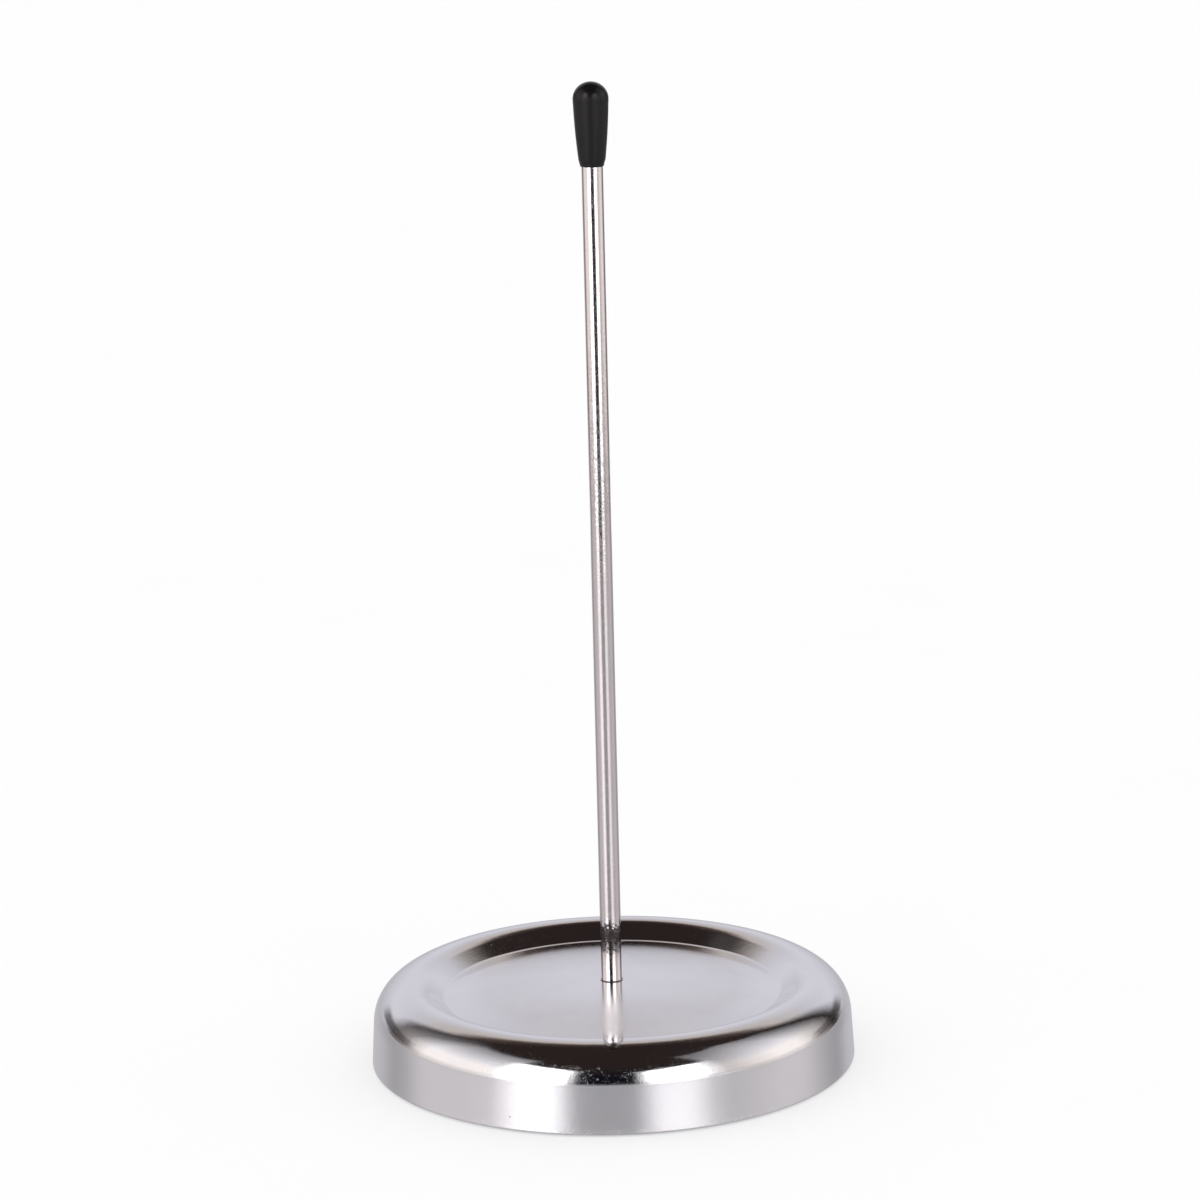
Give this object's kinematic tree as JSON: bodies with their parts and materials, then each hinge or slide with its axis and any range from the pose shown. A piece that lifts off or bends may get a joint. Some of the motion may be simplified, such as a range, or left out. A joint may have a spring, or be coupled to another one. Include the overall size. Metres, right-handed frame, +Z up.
{
  "type": "bill spike",
  "caption": "Desk bill spike: a slim plated rod standing on a round plated steel base with a rolled rim and domed centre, its point covered by a soft black pull-off cap.",
  "frame": {"origin": "centre of the rubber foot's underside, on the desk", "axes": "+Z up along the rod; the object is round about Z, apart from the hex nut and the split washer inside it"},
  "size_m": [0.085, 0.085, 0.1713],
  "materials": {
    "plated_base": "bright plated pressed steel",
    "plated_rod": "bright plated drawn wire",
    "black_cap": "satin soft moulding",
    "mill_steel": "blanked steel plate",
    "zinc_hardware": "zinc plated",
    "black_cover": "moulded satin",
    "foot_rubber": "solid rubber sheet"
  },
  "bodies": {
    "stand": {"base_shell": "plated_base", "spike_rod": "plated_rod", "ballast_plate": "mill_steel", "plain_washer": "zinc_hardware", "lock_washer": "zinc_hardware", "clamp_nut": "zinc_hardware", "bottom_cover": "black_cover", "rubber_foot": "foot_rubber"},
    "cap": {"tip_cap": "black_cap"}
  },
  "joints": [
    {"name": "cap_pull", "type": "slide", "parent": "stand", "child": "cap", "axis": [0, 0, 1], "range_m": [0, 0.03]}
  ]
}
